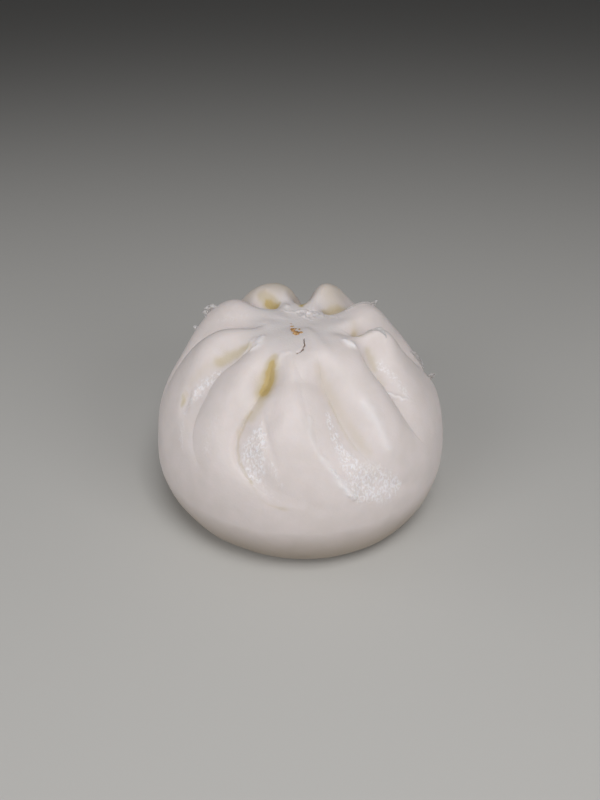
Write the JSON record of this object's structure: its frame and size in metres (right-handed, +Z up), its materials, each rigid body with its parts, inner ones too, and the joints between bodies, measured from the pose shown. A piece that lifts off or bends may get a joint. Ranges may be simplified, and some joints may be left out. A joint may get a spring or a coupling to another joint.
{
  "type": "steamed bun",
  "caption": "Large round steamed bun of soft white dough, gathered at the top into uneven pleats that twist into a central knot, on a flat underside.",
  "frame": {"origin": "middle of the flat underside, on the surface the bun stands on", "axes": "+Z up through the knot, -Y towards the side with the widest folds, +X to the right of it"},
  "size_m": [0.0919, 0.092, 0.064],
  "materials": {
    "dough": "soft steamed wheat skin, off-white, satin, slightly moist in the folds"
  },
  "bodies": {
    "root": {"bun": "dough"}
  },
  "joints": []
}
